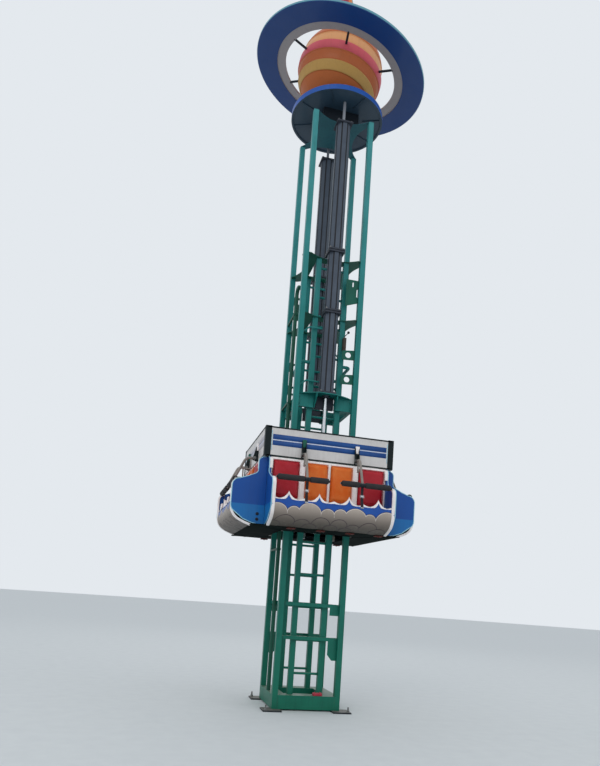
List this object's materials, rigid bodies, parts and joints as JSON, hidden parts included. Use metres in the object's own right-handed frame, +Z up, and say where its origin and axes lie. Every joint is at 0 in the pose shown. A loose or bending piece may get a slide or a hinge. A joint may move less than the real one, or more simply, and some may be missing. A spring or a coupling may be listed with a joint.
{
  "type": "drop tower ride",
  "caption": "Drop tower ride with a four-sided gondola of bucket seats and lap bars, lifted by two cylinders, and a ringed planet on top.",
  "frame": {"origin": "on the tower's axis at ground level, under the foot plates", "axes": "+Z up along the tower, -Y towards the front bench, +X to the right seen from the front"},
  "size_m": [2.7932, 2.8254, 11.861],
  "materials": {
    "green_paint": "satin enamel",
    "dark_steel": "satin enamel",
    "grey_tube": "powder coat",
    "bright_rod": "polished",
    "blue_paint": "gloss enamel",
    "planet_shell": "gelcoat",
    "shoe_plastic": "moulded",
    "white_panel": "satin enamel",
    "white_shell": "gelcoat",
    "blue_shell": "gelcoat",
    "red_vinyl": "vinyl",
    "orange_vinyl": "vinyl",
    "bar_steel": "satin",
    "black_foam": "foam"
  },
  "bodies": {
    "tower": {"base_frame": "green_paint", "foot_plates": "dark_steel", "corner_posts": "green_paint", "inner_columns": "green_paint", "ladder_rungs": "green_paint", "cross_bars": "green_paint", "tie_plate_lower": "green_paint", "tie_plate_upper": "green_paint", "cylinder_beams": "green_paint", "front_cylinder": "grey_tube", "rear_cylinder": "grey_tube", "cylinder_flanges": "grey_tube", "hanger_rods": "bright_rod", "head_plate": "green_paint", "crown_neck": "dark_steel", "crown_disc": "blue_paint", "planet": "planet_shell", "planet_ring": "blue_paint", "ring_struts": "dark_steel", "rocket": "planet_shell", "bracket_plates": "green_paint", "service_pipes": "green_paint", "conduit": "dark_steel"},
    "gondola": {"carriage_rails_x": "dark_steel", "carriage_rails_y": "dark_steel", "carriage_uprights": "dark_steel", "carriage_arms": "dark_steel", "guide_shoes": "shoe_plastic", "lift_rods": "bright_rod", "header_panels": "white_panel", "header_corners": "dark_steel", "bar_brackets": "dark_steel", "bench_front": "white_shell", "bench_right": "white_shell", "bench_rear": "white_shell", "bench_left": "white_shell", "skirts": "blue_shell", "cheeks_x": "blue_shell", "cheeks_y": "blue_shell", "back_pads_red": "red_vinyl", "back_pads_orange": "orange_vinyl"},
    "bar_front_1": {"lap_bar_front_1": "bar_steel", "rollers_front_1": "black_foam"},
    "bar_front_2": {"lap_bar_front_2": "bar_steel", "rollers_front_2": "black_foam"},
    "bar_right_1": {"lap_bar_right_1": "bar_steel", "rollers_right_1": "black_foam"},
    "bar_right_2": {"lap_bar_right_2": "bar_steel", "rollers_right_2": "black_foam"},
    "bar_rear_1": {"lap_bar_rear_1": "bar_steel", "rollers_rear_1": "black_foam"},
    "bar_rear_2": {"lap_bar_rear_2": "bar_steel", "rollers_rear_2": "black_foam"},
    "bar_left_1": {"lap_bar_left_1": "bar_steel", "rollers_left_1": "black_foam"},
    "bar_left_2": {"lap_bar_left_2": "bar_steel", "rollers_left_2": "black_foam"}
  },
  "joints": [
    {"name": "gondola_lift", "type": "slide", "parent": "tower", "child": "gondola", "axis": [0, 0, 1], "range_m": [-2.1, 1.6]},
    {"name": "bar_front_1_lift", "type": "hinge", "parent": "gondola", "child": "bar_front_1", "pos_m": [-0.385, -0.985, 3.52], "axis": [-1, 0, 0], "range_deg": [0, 88]},
    {"name": "bar_front_2_lift", "type": "hinge", "parent": "gondola", "child": "bar_front_2", "pos_m": [0.385, -0.985, 3.52], "axis": [-1, 0, 0], "range_deg": [0, 88]},
    {"name": "bar_right_1_lift", "type": "hinge", "parent": "gondola", "child": "bar_right_1", "pos_m": [0.985, -0.385, 3.52], "axis": [0, -1, 0], "range_deg": [0, 88]},
    {"name": "bar_right_2_lift", "type": "hinge", "parent": "gondola", "child": "bar_right_2", "pos_m": [0.985, 0.385, 3.52], "axis": [0, -1, 0], "range_deg": [0, 88]},
    {"name": "bar_rear_1_lift", "type": "hinge", "parent": "gondola", "child": "bar_rear_1", "pos_m": [0.385, 0.985, 3.52], "axis": [1, 0, 0], "range_deg": [0, 88]},
    {"name": "bar_rear_2_lift", "type": "hinge", "parent": "gondola", "child": "bar_rear_2", "pos_m": [-0.385, 0.985, 3.52], "axis": [1, 0, 0], "range_deg": [0, 88]},
    {"name": "bar_left_1_lift", "type": "hinge", "parent": "gondola", "child": "bar_left_1", "pos_m": [-0.985, 0.385, 3.52], "axis": [0, 1, 0], "range_deg": [0, 88]},
    {"name": "bar_left_2_lift", "type": "hinge", "parent": "gondola", "child": "bar_left_2", "pos_m": [-0.985, -0.385, 3.52], "axis": [0, 1, 0], "range_deg": [0, 88]}
  ]
}
